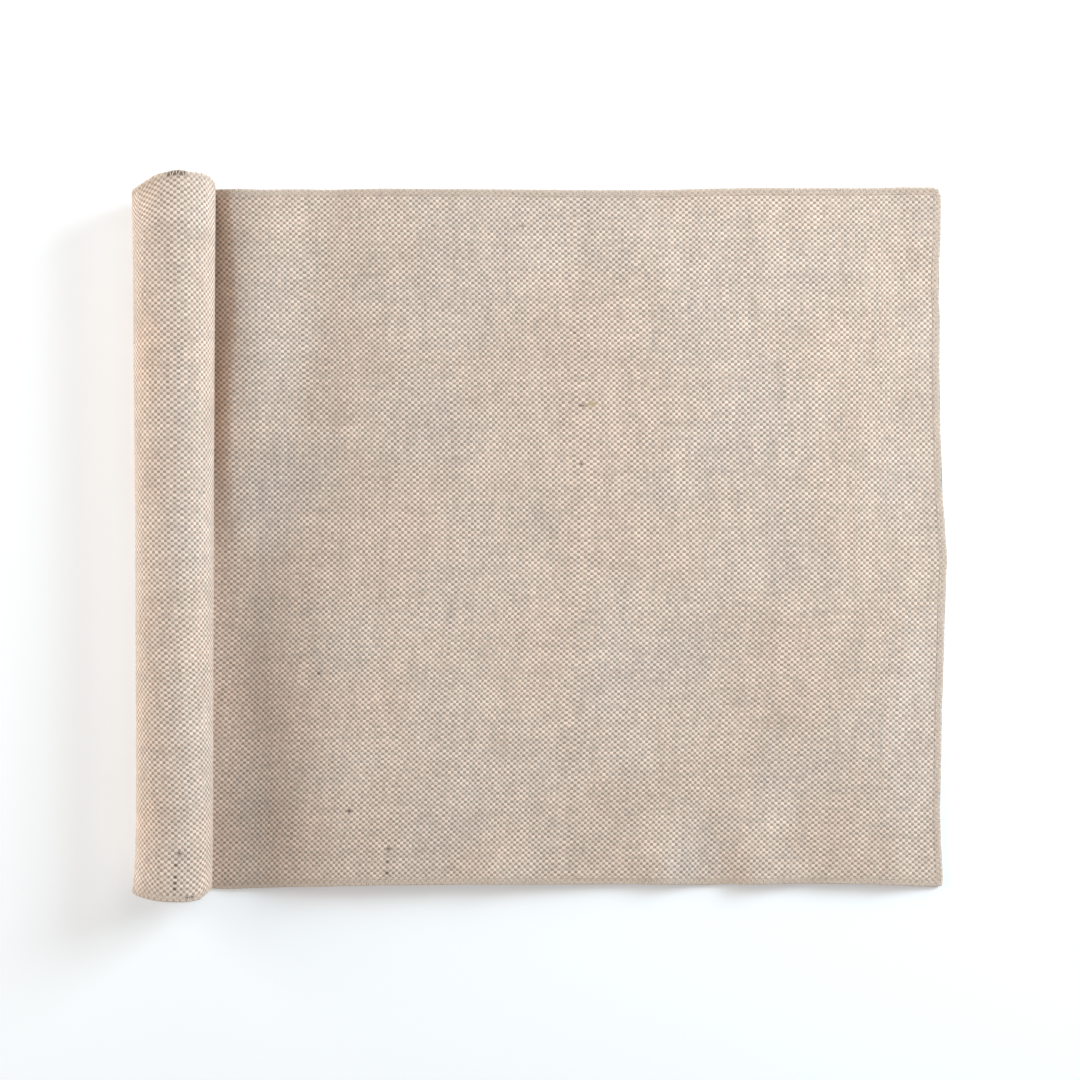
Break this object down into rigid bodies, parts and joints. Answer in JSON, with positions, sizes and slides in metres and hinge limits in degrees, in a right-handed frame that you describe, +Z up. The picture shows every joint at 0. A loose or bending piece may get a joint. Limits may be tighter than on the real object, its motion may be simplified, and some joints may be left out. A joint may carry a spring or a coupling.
{
  "type": "table runner",
  "caption": "Rectangular woven cloth runner with overlocked edges, lying flat at one end and rolled up at the other, to lay along a table.",
  "frame": {"origin": "middle of the underside of the whole object's box, on the surface it lies on", "axes": "+Z up; +X along the runner from the roll to the outer end; +Y to the rear long edge"},
  "size_m": [0.407, 0.3556, 0.0399],
  "materials": {
    "woven_cloth": "two-tone plain weave of cream and taupe yarns, matt",
    "looper_thread": "spun polyester thread, cream, matt",
    "needle_thread": "spun polyester thread, taupe, matt"
  },
  "bodies": {
    "root": {"woven_panel": "woven_cloth", "rear_edge_overlock": "looper_thread", "rear_edge_needle_thread": "needle_thread", "front_edge_overlock": "looper_thread", "front_edge_needle_thread": "needle_thread", "outer_end_overlock": "looper_thread", "outer_end_needle_thread": "needle_thread", "inner_end_overlock": "looper_thread", "inner_end_needle_thread": "needle_thread"}
  },
  "joints": []
}
